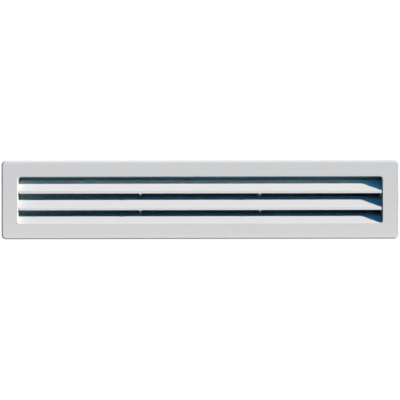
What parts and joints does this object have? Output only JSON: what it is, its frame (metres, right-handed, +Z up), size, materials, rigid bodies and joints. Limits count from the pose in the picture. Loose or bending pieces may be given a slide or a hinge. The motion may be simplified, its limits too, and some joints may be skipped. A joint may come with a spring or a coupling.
{
  "type": "ventilation grille",
  "caption": "Small rectangular wall grille: rounded frame, slanted fixed blades, stiffener combs, mesh behind, collar with spring clips for a cut-out.",
  "frame": {"origin": "on the wall plane, at the middle of the opening; the rim's back lies in this plane", "axes": "+X to the right as seen from the room, +Z up, the front faces -Y and the collar points to +Y"},
  "size_m": [0.25, 0.022, 0.0494],
  "materials": {
    "frame_plastic": "satin, fine moulded grain",
    "blade_plastic": "satin",
    "rear_plastic": "satin",
    "dark_net": "matt",
    "seal_foam": "matt closed-cell foam",
    "spring_steel": "bright rolled strip",
    "screw_steel": "zinc plated"
  },
  "bodies": {
    "root": {"front_frame": "frame_plastic", "blade_upper": "blade_plastic", "blade_lower": "blade_plastic", "sill_blade": "blade_plastic", "stiffener_left": "blade_plastic", "stiffener_right": "blade_plastic", "end_cheek_left": "blade_plastic", "end_cheek_right": "blade_plastic", "insect_mesh": "dark_net", "mesh_frame": "rear_plastic", "gasket": "seal_foam", "spring_clip_left": "spring_steel", "spring_clip_right": "spring_steel", "clip_screws": "screw_steel"}
  },
  "joints": []
}
